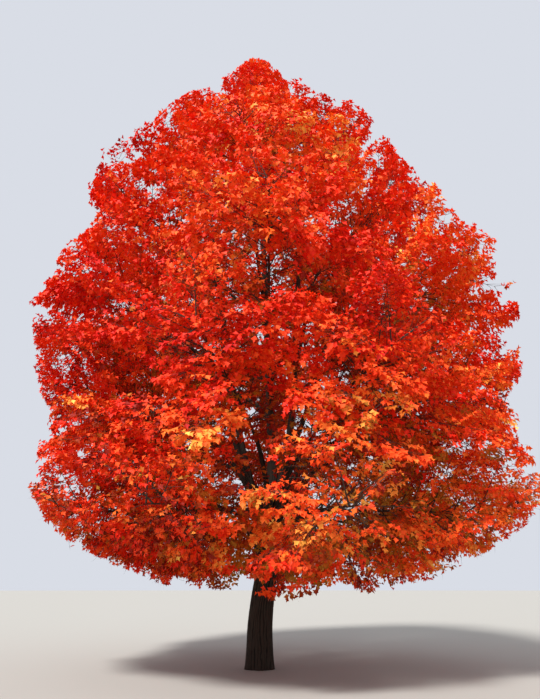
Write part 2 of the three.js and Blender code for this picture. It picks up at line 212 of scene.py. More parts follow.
# Leaves face away from a point on the crown's middle line that lies this far below them
FACING_DROP = 0.8

# Values that change with height: the low one, the high one, and the heights between which they change. Low
# boughs droop, with small leaves in level sprays, and high ones reach up. Fullness is how much larger the
# fine growth's spaces are than the solids', and the foot angle is how wide the lowest twigs of a stem spread.
BY_HEIGHT = {
    "fullness": (1.3, 1.6, 8, 13), "roll": (30, 80, 4, 12), "sweep": (-0.1, 0.06, 2.5, 7),
    "spray_bend": (-0.28, -0.05, 2.5, 7), "leaf_size": (0.78, 1.16, 3, 13),
    "foot_angle": (58, 100, 15.5, 16.5),
}

# The side of the cells in which shoots are thinned out to an even density, and the waves, each (east, north,
# up, phase), that gather the leaves in flat pads with gaps between them
CELL = 0.4
PAD_WAVES = [(2.1, 1.3, 4.6, 0), (-1.6, 2.2, 5.3, 2), (2.6, -1.9, 3.7, 4), (-0.9, -2.8, 4.9, 1)]
PAD_CREST = 1.4
PAD_STRENGTH = 0.85

# The outline of half a leaf one unit long, from the blade's foot to its tip, as (out from the midrib, along
# it), and its triangles
LEAF_HALF = [(0, 0), (0.55, 0.45), (0.22, 0.56), (0, 1)]
LEAF_FACES = [(0, 3, 2), (0, 2, 1)]

# Leaf colours: those of the outer crown from deepest to palest, and then duller, darker ones that paint
# shade deep inside the crown, low down and in the gaps between the pads. A leaf's tone is its place in the
# first row, and is made up of a base and what a place in the crown or chance adds to it. Zones are heights
# and distances in metres. Shade is the chance of a duller colour of painted shade. A spray's place is taken
# at a share of its length.
TINTS = ("crimson", "deep_scarlet", "scarlet", "vermilion", "red_orange", "orange", "amber", "gold")
SHADE_TINTS = ("shaded_red", "rust", "copper", "ochre")
TONE = {
    "base": 2.8, "depth": 0.5, "low": 0.8, "right": 0.8, "heart": 0.9, "twig": 0.6, "patch": 0.35,
    "spray": 0.7, "leaf": 0.35, "shade_base": 2.6,
}
ZONES = {
    "low": (1.5, 6.5), "right": (0, 5), "right_top": (12, 17), "heart_foot": (6, 10), "heart_half_width": 2,
    "depth": 2.5, "deepest": 3.5, "shade_top": (4, 11),
}
PATCH_WAVES = [(1.1, 0.5, 0.7, 0), (-0.6, 1.0, 1.3, 2)]
SHADE = {
    "from_depth": 1.3, "over": 1.5, "high_up": 0.3, "low": 0.3, "right": 0.6, "gap": 0.4, "leaf_share": 0.25,
}
SPRAY_PLACE = 0.6

# The pattern of the bark. Rows are counted along the limb, so many to the length of a plate. Heights run from
# 0 in a furrow to 1 on a plate, and widths and wanderings are shares of a plate's width.
BARK = {
    "fewest_strips": 6, "wander": 1.5, "wobble": 0.5, "wobble_rows": 3.3, "furrow_width": 0.14,
    "wider": 0.2, "width_rows": 1.4, "shallow": 0.35, "shallow_rows": 1.6, "shallow_fade": (0.2, 0.55),
    "furrow_edge": (0.15, 1), "break_rows": 2.6, "break_width": 0.07, "break_depth": 0.3,
    "grain_cells": 4, "grain_rows": 12, "grain_depth": 0.16, "mean_height": 0.7, "thin_power": 0.8,
    "deepest": 1.1,
}

# How finely the bark of each kind of limb is divided, and the seed of the first limb's pattern
BARK_GRIDS = {
    "trunk": {"sides": 160, "step": 0.03, "top_rings": 90, "seed": 1},
    "leader": {"sides": 40, "step": 0.06, "seed": 10},
    "bough": {"sides": 24, "step": 0.07, "seed": 30},
}
WELD_DISTANCE = 0.2 * MM

# How far a mass's stem starts inside its limb, how it tapers, and its rings and sides
STEM_TUBE = {"sunk": 0.05, "taper_power": 0.8, "rings": 9, "sides": 8}

# A direction with more than this share of its length along an axis counts as lying along it
ALONG_AXIS = 0.9

# The surfaces: how rough each is, and how strong its sheen. Old bark turns from the furrow's colour, which is
# painted shade, to the plate's between two heights of its relief, and lichen comes in between two values of
# its blotches.
OLD_BARK = {
    "roughness": 0.92, "sheen": 0.25, "heights": (0.1, 0.85), "lichen": (0.52, 0.72), "lichen_share": 0.35,
    "bump": 0.5, "bump_height": 3 * MM,
}
BLOTCHES = {"Detail": 4.0, "Roughness": 0.6}
GRAIN = {"Detail": 3.0, "Roughness": 0.7}
YOUNG_BARK = {"roughness": 0.7, "sheen": 0.35}
LEAF_SKIN = {"roughness": 0.6, "sheen": 0.2}
MATT_PAINT = {"roughness": 0.95, "sheen": 0.5}

# The colour sockets of a Mix node, which share their names with its others
MIX_A = 6
MIX_B = 7
MIX_RESULT = 2

# The stage, with the key light's turn in degrees, and how far the camera sees
FLOOR = {"radius": 600, "sides": 96}
KEY_PLACE = (-20, -30, 40)
KEY_TURN = (44, 0, -28)
VIEW_END = 2000


def linear(value):
    """A hex colour as linear RGB."""
    channels = [int(value[i : i + 2], 16) / 255 for i in (1, 3, 5)]
    return tuple(c / 12.92 if c <= 0.04045 else ((c + 0.055) / 1.055) ** 2.4 for c in channels)


def mix(start, end, share):
    return start + (end - start) * share


def smoothstep(value, low, high):
    """From 0 at the low value to 1 at the high one, with soft ends."""
    share = np.clip((value - low) / (high - low), 0, 1)
    return share * share * (3 - 2 * share)


def by_height(name, height):
    """A growth value between its low one and its high one."""
    low, high, start, end = BY_HEIGHT[name]
    return mix(low, high, smoothstep(height, start, end))


def unit(vectors):
    return vectors / np.maximum(np.linalg.norm(vectors, axis=-1, keepdims=True), 1e-12)


def seeded_random(seed):
    """The solids' own stream of numbers, so that limbs and masses fall in the same places."""
    state = seed

    def draw():
        nonlocal state
        state = (state * RANDOM_MULTIPLIER + RANDOM_INCREMENT) % 2**32
        return state / 2**32

    return draw


def outward(azimuth, rise):
    """A unit direction from its azimuth and its rise over the level, in radians."""
    return np.array([math.cos(azimuth) * math.cos(rise), math.sin(azimuth) * math.cos(rise), math.sin(rise)])


def turned(vectors, axes, angles):
    """Vectors turned about unit axes by angles in radians."""
    cos, sin = np.cos(angles)[..., None], np.sin(angles)[..., None]
    along = (vectors * axes).sum(-1, keepdims=True) * axes
    return vectors * cos + np.cross(axes, vectors) * sin + along * (1 - cos)


# Curves
def arc(start, start_along, end, end_along, arms):
    """The four control points of a curve whose arms are shares of the distance between its ends."""
    reach = np.linalg.norm(end - start)
    return np.array([start, start + start_along * arms[0] * reach, end - end_along * arms[1] * reach, end])


def on_curve(curve, shares):
    """Points at shares of the way along a curve."""
    t = np.asarray(shares, float)[..., None]
    a, b, c, d = curve
    return a * (1 - t) ** 3 + 3 * b * t * (1 - t) ** 2 + 3 * c * t * t * (1 - t) + d * t**3


def curve_along(curve, shares):
    """The directions in which a curve heads there."""
    t = np.asarray(shares, float)[..., None]
    a, b, c, d = curve
    return unit((b - a) * (1 - t) ** 2 + 2 * (c - b) * t * (1 - t) + (d - c) * t * t)


def curve_length(curve):
    points = on_curve(curve, np.linspace(0, 1, LENGTH_STEPS + 1))
    return np.linalg.norm(np.diff(points, axis=0), axis=1).sum()


# The crown's outline and the trunk
def crown_radius(height, form=CROWN):
    """The crown's radius, which narrows from its widest height to its top and to its skirt."""
    height = np.asarray(height, float)
    above = height > form["widest"]
    end = np.where(above, form["top"], form["skirt"])
    share = np.clip((height - form["widest"]) / (end - form["widest"]), 0, 1)
    power = np.where(above, form["upper_power"], form["lower_power"])
    return form["widest_radius"] * (1 - share**power)


def crown_shift(height, form=CROWN):
    """How far east the crown's middle is."""
    return form["shift_at_ground"] + form["shift_per_height"] * height


def trunk_point(heights):
    """Points on the trunk's middle line, which bends low down and leans the other way higher up."""
    heights = np.asarray(heights, float)
    bend = TRUNK["bend"] * smoothstep(heights, TRUNK["bend_from"], TRUNK["bend_to"])
    lean = TRUNK["lean_per_height"] * np.maximum(heights - TRUNK["lean_from"], 0)
    return np.stack([bend - lean, np.zeros_like(heights), heights], -1)


def trunk_radius(heights):
    """The trunk's radius without the flare. It drops at the fork, where the leaders part from it."""
    heights = np.asarray(heights, float)
    stem = mix(TRUNK["ground_radius"], TRUNK["fork_radius"], heights / TRUNK["fork_height"])
    beyond = np.maximum(heights - TRUNK["fork_height"], 0)
    share = beyond / (TRUNK["tip_height"] - TRUNK["fork_height"])
    top = mix(TRUNK["top_radius"], TRUNK["tip_radius"], share)
    top = top + (TRUNK["fork_radius"] - TRUNK["top_radius"]) * np.exp(-beyond / TRUNK["top_fade"])
    return np.where(heights <= TRUNK["fork_height"], stem, top)


def flare_at(heights, angles):
    """How far the roots swell the trunk's foot, in lobes round it."""
    lobes = FLARE["lobe_depth"] * np.cos(FLARE["lobes"] * angles + FLARE["lobe_turn"])
    lobes = lobes + FLARE["oval"] * np.cos(2 * angles)
    return FLARE["size"] * (1 + lobes) * np.exp(-heights / FLARE["height"])


# The spaces of the masses
Space = namedtuple("Space", "name centre azimuth axes half walls")
Limb = namedtuple("Limb", "name curve base_radius tip along samples radii")
Plan = namedtuple("Plan", "name tier index space")


def make_space(name, centre, azimuth, form):
    """A space for a mass: an ellipsoid that points outward and up, without walls as yet."""
    ahead = outward(azimuth, math.radians(form["tilt"]))
    aside = outward(azimuth + math.pi / 2, 0)
    axes = np.array([ahead, aside, np.cross(ahead, aside)])
    return Space(name, centre, azimuth, axes, np.array(form["half"]), [])


def mass_centre(tier, azimuth, height):
    """The centre of a mass that reaches the crown's outline."""
    radius = crown_radius(height) - tier["half"][0] * math.cos(math.radians(tier["tilt"]))
    centre = outward(azimuth, 0) * radius
    return np.array([centre[0] + crown_shift(height), centre[1], height])


def reach_along(space, direction):
    """How far a space reaches from its centre, without its walls."""
    return 1 / np.linalg.norm(space.axes @ direction / space.half)


def raise_walls(spaces):
    """Gives each space a flat wall towards each neighbour that it would reach into."""
    for space in spaces:
        for other in spaces:
            if other is space:
                continue
            normal = other.centre - space.centre
            apart = np.linalg.norm(normal)
            normal = normal / apart
            own = reach_along(space, normal)
            limit = apart * own / (own + reach_along(other, normal)) - SPACE_GAP / 2
            if limit < own:
                space.walls.append((normal, limit))


def room_along(space, points, directions):
    """How far each point can go along its direction inside the space. It is negative for a point outside."""
    offset = points - space.centre
    start = offset @ space.axes.T / space.half
    step = directions @ space.axes.T / space.half
    a, b, c = (step * step).sum(-1), (start * step).sum(-1), (start * start).sum(-1) - 1
    room = (np.sqrt(np.maximum(b * b - a * c, 0)) - b) / a
    for normal, limit in space.walls:
        left = limit - offset @ normal
        speed = directions @ normal
        room = np.minimum(room, np.where(speed > 0, left / np.maximum(speed, 1e-9), np.inf))
        room = np.where(left < 0, -1, room)
    return np.where(c > 0, -1, room)


def around(points, places):
    """The sum of smooth bumps, each round a direction from the crown's middle and a height."""
    height = points[..., 2]
    azimuth = np.degrees(np.arctan2(points[..., 1], points[..., 0] - crown_shift(height, OUTLINE)))
    total = 0
    for turn, centre, width, spread, size in places:
        aside = (azimuth - turn + 180) % 360 - 180
        total = total + size * np.exp(-(((height - centre) / spread) ** 2) - (aside / width) ** 2)
    return total


def crown_depth(points):
    """How far points lie inside the crown's lumpy outline, along a level line."""
    height = points[..., 2]
    east = points[..., 0] - crown_shift(height, OUTLINE)
    azimuth = np.arctan2(points[..., 1], east)
    radius = crown_radius(height, OUTLINE)
    lumps = sum(size * np.sin(waves * azimuth + rise * height) for waves, rise, size in LUMPS)
    radius = radius + lumps * radius / OUTLINE["widest_radius"]
    radius = radius + WAIST["size"] * np.exp(-(((height - WAIST["height"]) / WAIST["spread"]) ** 2))
    radius = radius + around(points, BULGES)
    return radius - np.hypot(east, points[..., 1])


def in_crown(points):
    """Which points lie in the crown's outline, and don't stand out of the solids' box too far."""
    low, high = np.array(CAD_BOX)
    side = high - low
    in_box = (points > low - PROUD_LOW * side) & (points < high + PROUD_HIGH * side)
    return in_box.all(axis=-1) & (crown_depth(points) > 0)


def is_inside(space, points):
    return in_crown(points) & (room_along(space, points, np.broadcast_to(UP, points.shape)) >= 0)


def within_crown(starts, directions, lengths, steps=12):
    """The lengths, cut back to the last step before the twigs would leave the crown's outline."""
    shares = np.linspace(0, 1, steps + 1)[1:]
    points = starts[:, None] + directions[:, None] * (lengths[:, None] * shares)[..., None]
    inside = in_crown(points)
    return lengths * np.where(inside.all(axis=1), steps, inside.argmin(axis=1)) / steps


def thinned(points, cell, most, random):
    """Which points stay: in random order, those with fewer before them in their cell than their most."""
    order = random.permutation(len(points))
    _, groups = np.unique(np.floor(points[order] / cell).astype(int), axis=0, return_inverse=True)
    groups = groups.ravel()
    rows = np.argsort(groups, kind="stable")
    firsts = np.searchsorted(groups[rows], np.arange(groups.max() + 1))
    rank = np.empty(len(points), int)
    rank[order[rows]] = np.arange(len(points)) - firsts[groups[rows]]
    return rank < most


# The skeleton: the plans of all masses, and the limb that carries each
def bough_radius(base_radius, length, shares):
    """A limb's radius, with a collar where it leaves the limb that carries it."""
    collar = COLLAR_SHARE * base_radius * np.exp(-shares * length / COLLAR_LENGTH)
    return mix(base_radius, LIMB_TIP_RADIUS, shares) + collar


def bough_curve(plan, arms, leaders):
    """The line of a limb to its mass, from the trunk or from the leader on that side."""
    tier, space = plan.tier, plan.space
    height = tier["trunk_height"] + tier["trunk_step"] * ((2 * plan.index) % len(tier["turns"]))
    start = trunk_point(height)
    for azimuth, leader in leaders:
        apart = (space.azimuth - azimuth + math.pi) % (2 * math.pi) - math.pi
        if tier["leader_share"] > 0 and abs(apart) < math.radians(LEADER_REACH):
            start = on_curve(leader.curve, tier["leader_share"])
            break
    end_along = outward(space.azimuth, math.radians(tier["end_rise"]))
    end = space.centre - end_along * STEM["entry"] * room_along(space, space.centre, -end_along)
    start_along = outward(math.atan2(end[1] - start[1], end[0] - start[0]), math.radians(tier["start_rise"]))
    return arc(start, start_along, end, end_along, arms)


@functools.cache
def skeleton():
    """(limbs, masses): every limb, the trunk first, and the (space, limb) of every mass, the crest first."""
    draw = seeded_random(SKELETON_SEED)
    plans = []
    for tier in [LEADERS, *TIERS]:
        for index, turn in enumerate(tier["turns"]):
            azimuth = math.radians(turn + (draw() - 0.5) * TURN_JITTER)
            height = tier["height"] + (draw() - 0.5) * tier["lift"]
            name = f"{tier['name']}_{index + 1}"
            centre = mass_centre(tier, azimuth, height)
            plans.append(Plan(name, tier, index, make_space(name, centre, azimuth, tier)))
    crest = make_space(CREST["name"], trunk_point(CREST["height"]), 0, CREST)
    raise_walls([*[plan.space for plan in plans], crest])

    heights = np.arange(0, TRUNK["tip_height"], SAMPLE_STEP)
    tip = trunk_point(TRUNK["tip_height"])
    trunk = Limb("trunk", None, TRUNK["ground_radius"], tip, UP, trunk_point(heights), trunk_radius(heights))
    limbs, masses, leaders = [trunk], [(crest, trunk)], []
    for plan in plans:
        is_leader = plan.tier is LEADERS
        curve = bough_curve(plan, LEADER_ARMS if is_leader else BOUGH_ARMS, leaders)
        length = curve_length(curve)
        shares = np.linspace(0, 1, math.ceil(length / SAMPLE_STEP) + 1)
        name = plan.name if is_leader else f"bough_{plan.name}"
        base_radius = plan.tier["radius"]
        samples, radii = on_curve(curve, shares), bough_radius(base_radius, length, shares)
        limb = Limb(name, curve, base_radius, curve[3], curve_along(curve, 1.0), samples, radii)
        limbs.append(limb)
        masses.append((plan.space, limb))
        if is_leader:
            leaders.append((plan.space.azimuth, limb))
    return limbs, masses


# Foliage. Twigs and leaves are arrays with a row for each, and a parent or spray is the number of a row.
Twigs = namedtuple("Twigs", "start along length side bend parent")
Leaves = namedtuple("Leaves", "foot base along across normal size spray")
Mass = namedtuple("Mass", "stem twigs sprays is_leafy shoots leaves")
Growth = namedtuple(
    "Growth", "finer spray_spacing shoot_spacing leaf_length petiole density full_depth fade_depth"
)


def picked(arrays, keep):
    """The chosen rows of twigs or leaves."""
    return type(arrays)(*[values[keep] for values in arrays])


def twig_point(twigs, shares):
    """A point on each twig, which bends from its straight line with the square of the distance."""
    along = twigs.along * (twigs.length * shares)[:, None]
    return twigs.start + along + twigs.bend * (shares**2)[:, None]


def distance_to_limbs(points, samples, radii):
    """How far each point is from the nearest limb's bark."""
    if len(samples) == 0 or len(points) == 0:
        return np.full(len(points), np.inf)
    apart = np.linalg.norm(points[:, None] - samples[None], axis=-1) - radii[None]
    return apart.min(axis=1)


def main_twigs(space, limb, draw, random, finer):
    """The line of a mass's stem, and where its twigs start and head: the solids' own pairs and finer ones."""
    ahead = space.axes[0]
    reach = max(STEM["reach"] * room_along(space, space.centre, ahead) - SPRAY_LENGTH, 0)
    curve = arc(limb.tip, limb.along, space.centre + ahead * reach, ahead, STEM["arms"])
    side = unit(np.cross(limb.along, space.axes[1]))
    shares = [mix(PAIRS["from"], PAIRS["to"], pair / (PAIRS["count"] - 1)) for pair in range(PAIRS["count"])]
    starts, directions = [], []

    def add_pair(share, side, rise, angle=PAIRS["angle"]):
        along = curve_along(curve, share)
        side = unit(np.cross(along, side))
        side = turned(side, along, np.array(math.radians(PAIRS["twist"]) * (rise() - 0.5)))
        spread = math.radians(angle)
        for sign in (-1, 1):
            direction = along * math.cos(spread) + side * sign * math.sin(spread)
            starts.append(on_curve(curve, share))
            directions.append(unit(direction + UP * PAIRS["rise"] * rise()))
        return side

    for share in shares:
        side = add_pair(share, side, draw)
    foot_angle = by_height("foot_angle", space.centre[2])
    for share in np.linspace(shares[0] / 2, 1, finer):
        side = add_pair(share, side, random.random, mix(foot_angle, PAIRS["angle"], min(2 * share, 1)))

    end = curve[3]
    room = STEM["reach"] * room_along(space, end, ahead) - STEM_TIP["gap"]
    room = within_crown(end[None], ahead[None], np.array([room]))[0]
    beyond = max(STEM_TIP["reach"] * room, STEM_TIP["shortest"])
    starts.append(end)
    directions.append(ahead)
    for share in STEM_TIP["pairs"]:
        axis = unit(np.cross(ahead, side))
        side = turned(axis, ahead, np.array(STEM_TIP["twist"] * (random.random() - 0.5)))
        for sign in (-1, 1):
            starts.append(end + ahead * beyond * share)
            rise = UP * STEM_TIP["rise"] * random.random()
            directions.append(unit(ahead * STEM_TIP["ahead"] + side * sign * STEM_TIP["aside"] + rise))
    line = on_curve(curve, np.linspace(0, 1, STEM_TUBE["rings"]))
    stem = np.concatenate([line, [end + ahead * beyond * STEM_TIP["reach"]]])
    return stem, np.array(starts), np.array(directions)


def level_side(directions, random, roll):
    """A side direction for each twig that keeps its spray near level, rolled by up to roll degrees."""
    side = np.cross(directions, UP)
    flat = np.linalg.norm(side, axis=-1)
    loose = unit(np.cross(directions, unit(random.normal(size=directions.shape))))
    side = np.where(flat[:, None] > STEEP, unit(side), loose)
    angles = np.radians(roll) * random.uniform(-1, 1, len(directions))
    return turned(side, directions, angles)


def side_twigs(parents, space, random, form, spacing, margin, bend):
    """Opposite pairs of side twigs along each parent, in the plane of its side direction."""
    steps = np.maximum(np.floor((parents.length - form["first"]) / spacing).astype(int) + 1, 0)
    rows = np.repeat(np.arange(len(steps)), steps)
    order = np.concatenate([np.arange(n) for n in steps]) if steps.sum() else np.zeros(0, int)
    distance = form["first"] + spacing * (order + SIDE_TWIGS["place_jitter"] * random.random(len(rows)))
    own = picked(parents, rows)
    shares = np.clip(distance / own.length, 0, SIDE_TWIGS["last_place"])
    start = twig_point(own, shares)
    along = unit(own.along * own.length[:, None] + 2 * own.bend * shares[:, None])
    side = turned(own.side, along, np.radians(form["roll"]) * random.uniform(-1, 1, len(rows)))
    normal = np.cross(along, side)
    made = []
    for sign in (-1, 1):
        angle = np.radians(form["angle"] + form["angle_jitter"] * random.uniform(-1, 1, len(rows)))
        direction = along * np.cos(angle)[:, None] + side * (sign * np.sin(angle))[:, None]
        direction = unit(direction + normal * (form["tilt"] * random.normal(size=len(rows)))[:, None])
        jitter = random.uniform(*SIDE_TWIGS["length_jitter"], len(rows))
        length = form["length"] * (1 - form["taper"] * shares) * jitter
        room = room_along(space, start, direction) - margin
        length = np.maximum(np.minimum(length, room), 0)
        length = within_crown(start, direction, length, SIDE_TWIGS["steps"])
        child_side = unit(np.cross(normal, direction))
        made.append(Twigs(start, direction, length, child_side, UP * (bend * length)[:, None], rows))
    twigs = Twigs(*[np.concatenate(values) for values in zip(*made, strict=True)])
    return picked(twigs, twigs.length > form["shortest"])


def with_ends(twigs, parents, length):
    """Side twigs, and the last stretch of each parent as a twig of its own."""
    stretch = np.minimum(length, parents.length * END_SHARE)
    end = twig_point(parents, np.ones(len(parents.length)))
    along = unit(parents.along * parents.length[:, None] + 2 * parents.bend)
    rows = np.arange(len(stretch))
    ends = Twigs(end - along * stretch[:, None], along, stretch, parents.side, parents.bend * 0, rows)
    return Twigs(*[np.concatenate(pair) for pair in zip(twigs, ends, strict=True)])


def leaves_on(shoots, leaf_length, petiole_length, random):
    """A leaf at the end of each shoot and opposite pairs under it, hanging from their petioles."""
    count = len(shoots.length)
    parts = []
    normal = np.cross(shoots.along, shoots.side)
    for share, sign in [(1.0, 0), *[(share, sign) for share in LEAF["pairs"] for sign in (-1, 1)]]:
        foot = twig_point(shoots, np.full(count, share))
        spread = sign * np.radians(random.uniform(*LEAF["spread"], count))
        lead = shoots.along * np.cos(spread)[:, None] + shoots.side * np.sin(spread)[:, None]
        lead = unit(lead + normal * (LEAF["toss"] * random.normal(size=count))[:, None] + UP * LEAF["lift"])
        petiole = petiole_length * random.uniform(*LEAF["petiole"], count)
        base = foot + lead * petiole[:, None]
        droop = random.uniform(*LEAF["droop"], count)
        along = unit(lead - UP * droop[:, None])
        height = base[:, 2]
        middle = np.stack([crown_shift(height, OUTLINE), np.zeros(count), height - FACING_DROP], -1)
        out = unit(base - middle)
        loose = random.normal(size=(count, 3)) * LEAF["loose"]
        across = unit(np.cross(UP * LEAF["skyward"] + out * LEAF["outward"] + loose, along))
        size = leaf_length * random.uniform(*LEAF["size"], count)
        parts.append(Leaves(foot, base, along, across, np.cross(along, across), size, np.arange(count)))
    return Leaves(*[np.concatenate(values) for values in zip(*parts, strict=True)])


def limbs_near(space, own_limb):
    """Points on the lines of the other limbs that come near a space, and the limbs' radii there."""
    others = [limb for limb in skeleton()[0] if limb is not own_limb]
    samples = np.concatenate([limb.samples for limb in others])
    radii = np.concatenate([limb.radii for limb in others])
    near = np.linalg.norm(samples - space.centre, axis=1) < space.half.max() + LIMB_SEARCH
    return samples[near], radii[near]


def grown_twigs(space, starts, directions, limbs, random):
    """The main twigs, each as long as the space, the crown's outline and the limbs near it allow."""
    lengths = np.maximum(room_along(space, starts, directions) * TWIG["reach"] - TWIG["wall_gap"], 0)
    lengths = within_crown(starts, directions, lengths) * random.uniform(*TWIG["shares"], len(lengths))
    best = np.zeros(len(lengths))
    steps = np.linspace(0, 1, TWIG["samples"])[None, :, None]
    for part in TRIES:
        points = starts[:, None] + steps * (directions * (lengths * part)[:, None])[:, None]
        apart = distance_to_limbs(points.reshape(-1, 3), *limbs).reshape(len(starts), -1)
        clear = apart.min(axis=1) > TWIG["limb_gap"]
        best = np.where((best == 0) & clear, lengths * part, best)
    keep = best > TWIG["shortest"]
    starts, directions, lengths = starts[keep], directions[keep], best[keep]
    side = level_side(directions, random, by_height("roll", space.centre[2]))
    sweep = by_height("sweep", space.centre[2]) * (1 - np.abs(directions[:, 2]))
    return Twigs(starts, directions, lengths, side, UP * (sweep * lengths)[:, None], np.arange(len(starts)))


def wave_sum(points, waves):
    """The sum of waves that run through the crown, from minus to plus their number."""
    return sum(np.sin(points @ (east, north, up) + phase) for east, north, up, phase in waves)


def pads(points):
    """How dense the leaves are as a share of the mean, in pads and between them."""
    return 1 + PAD_STRENGTH * np.clip(wave_sum(points, PAD_WAVES) / PAD_CREST, -1, 1)


def evenly_thinned(shoots, growth, leaf_length, random):
    """The shoots that stay: as many as the density allows, with fewer deep inside and in the openings."""
    ends = twig_point(shoots, np.ones(len(shoots.length)))
    inner = np.maximum(crown_depth(ends) - growth.full_depth, 0) / growth.fade_depth
    leaves_each = 1 + 2 * len(LEAF["pairs"])
    packing = growth.density * (growth.leaf_length / leaf_length) ** 2
    most = packing * CELL**3 / leaves_each * np.exp(-inner) * (1 - around(ends, OPENINGS)) * pads(ends)
    most = most + random.random(len(ends)) - 0.5
    return picked(shoots, thinned(ends, CELL, most, random))


def leaves_with_room(leaves, space, limbs):
    """The leaves with tip and lobes in the space and the crown, and with room between them and the limbs."""
    half = 0.5 * leaves.size
    tip = leaves.base + leaves.along * leaves.size[:, None]
    middle = leaves.base + leaves.along * half[:, None]
    lobe = leaves.across * (LEAF["half_width"] * leaves.size)[:, None]
    keep = distance_to_limbs(middle, *limbs) > half
    for corner in (tip, middle + lobe, middle - lobe):
        keep &= is_inside(space, corner)
    return picked(leaves, keep)


@functools.cache
def grow_mass(number, growth):
    """The finer growth of one mass, in its own space and a little way into its neighbours'."""
    space, limb = skeleton()[1][number]
    height = space.centre[2]
    draw = seeded_random(FOLIAGE_SEED + number)
    random = np.random.default_rng(FOLIAGE_SEED + number)
    stem, starts, directions = main_twigs(space, limb, draw, random, growth.finer)
    walls = [(normal, limit + INTERLACE) for normal, limit in space.walls]
    space = space._replace(half=space.half * by_height("fullness", height), walls=walls)
    limbs = limbs_near(space, limb)
    twigs = grown_twigs(space, starts, directions, limbs, random)

    leaf_length = growth.leaf_length * by_height("leaf_size", height)
    reach = leaf_length + growth.petiole
    bend = by_height("spray_bend", height)
    sprays = side_twigs(twigs, space, random, SPRAY, growth.spray_spacing, SPRAY["margin"] * reach, bend)
    sprays = with_ends(sprays, twigs, SPRAY_END)
    shoots = side_twigs(sprays, space, random, SHOOT, growth.shoot_spacing, SHOOT["margin"] * reach, 0)
    shoots = evenly_thinned(with_ends(shoots, sprays, SHOOT_END), growth, leaf_length, random)
    leaves = leaves_with_room(leaves_on(shoots, leaf_length, growth.petiole, random), space, limbs)

    is_leafy_shoot = np.zeros(len(shoots.length), bool)
    is_leafy_shoot[leaves.spray] = True
    leaves = leaves._replace(spray=shoots.parent[leaves.spray])
    is_leafy_spray = np.zeros(len(sprays.length), bool)
    is_leafy_spray[leaves.spray] = True
    return Mass(stem, twigs, sprays, is_leafy_spray, picked(shoots, is_leafy_shoot), leaves)


def deal_tints(mass, random):
    """A tint for each leaf, dealt out by spray: redder outside and high up, more orange inside and low, and
    duller and darker with painted shade deep inside, low down and between the pads.
    """
    place = twig_point(mass.sprays, np.full(len(mass.sprays.length), SPRAY_PLACE))
    x, _, z = place.T
    spray = mass.leaves.spray
    depth = crown_depth(place)
    low = 1 - smoothstep(z, *ZONES["low"])
    right = smoothstep(x, *ZONES["right"]) * (1 - smoothstep(z, *ZONES["right_top"]))
    heart = np.exp(-((x / ZONES["heart_half_width"]) ** 2)) * smoothstep(z, *ZONES["heart_foot"])
    tone = TONE["base"] + TONE["depth"] * np.clip(depth, 0, ZONES["deepest"]) / ZONES["depth"]
    # The right side's tone is partly the leaves' own more orange hue and partly painted light that lifts the
    # side the key light leaves dimmer
    tone += TONE["low"] * low + TONE["right"] * right + TONE["heart"] * heart
    tone += TONE["patch"] * wave_sum(place, PATCH_WAVES)
    tone += TONE["twig"] * random.normal(size=len(mass.twigs.length))[mass.sprays.parent]
    tone += TONE["spray"] * random.normal(size=len(tone))
    leaf_tone = tone[spray] + TONE["leaf"] * random.normal(size=len(spray))

    # Painted shade: sprays deep inside the crown, in the gaps between the pads and low down take the duller,
    # darker colours
    shade = np.clip((depth - SHADE["from_depth"]) / SHADE["over"], 0, 1)
    shade = shade + SHADE["gap"] * np.clip(1 - pads(place), 0, 1)
    shade = shade * mix(1, SHADE["high_up"], smoothstep(z, *ZONES["shade_top"]))
    shade = shade + SHADE["low"] * low * (1 - SHADE["right"] * right)
    luck = mix(random.random(len(tone))[spray], random.random(len(spray)), SHADE["leaf_share"])
    shade_tone = len(TINTS) + np.clip(np.round(leaf_tone - TONE["shade_base"]), 0, len(SHADE_TINTS) - 1)
    bright_tone = np.clip(np.round(leaf_tone), 0, len(TINTS) - 1)
    return np.where(shade[spray] > luck, shade_tone, bright_tone).astype(int)


# Meshes from arrays
def tube_mesh(points, radii, sides):
    """Pointed tubes through rows of points, as (vertices, triangles). Each row's last point is its tip."""
    count, rings, _ = points.shape
    along = unit(np.gradient(points, axis=1))
    level = np.where(np.abs(along[:, :1, 2:]) > ALONG_AXIS, EAST, UP)
    across = unit(np.cross(along, level))
    beside = np.cross(along, across)
    angles = np.arange(sides) * 2 * math.pi / sides
    circle = across[:, :, None] * np.cos(angles)[:, None] + beside[:, :, None] * np.sin(angles)[:, None]
    walls = points[:, :, None] + circle * radii[:, :, None, None]
    vertices = np.concatenate([walls[:, :-1].reshape(count, -1, 3), points[:, -1:]], axis=1)
    faces = []
    for ring in range(rings - 2):
        for i in range(sides):
            a, b = ring * sides + i, ring * sides + (i + 1) % sides
            faces += [(a, b, b + sides), (a, b + sides, a + sides)]
    tip, base = (rings - 1) * sides, (rings - 2) * sides
    faces += [(base + i, base + (i + 1) % sides, tip) for i in range(sides)]
    faces = np.array(faces)[None] + (np.arange(count) * vertices.shape[1])[:, None, None]
    return vertices.reshape(-1, 3), faces.reshape(-1, 3)


def twig_mesh(twigs, radii, rings, sides=3):
    shares = np.linspace(0, 1, rings)
    points = np.stack([twig_point(twigs, np.full(len(twigs.length), share)) for share in shares], axis=1)
    thick = np.broadcast_to(mix(radii[0], radii[1], shares), points.shape[:2])
    return tube_mesh(points, thick, sides)


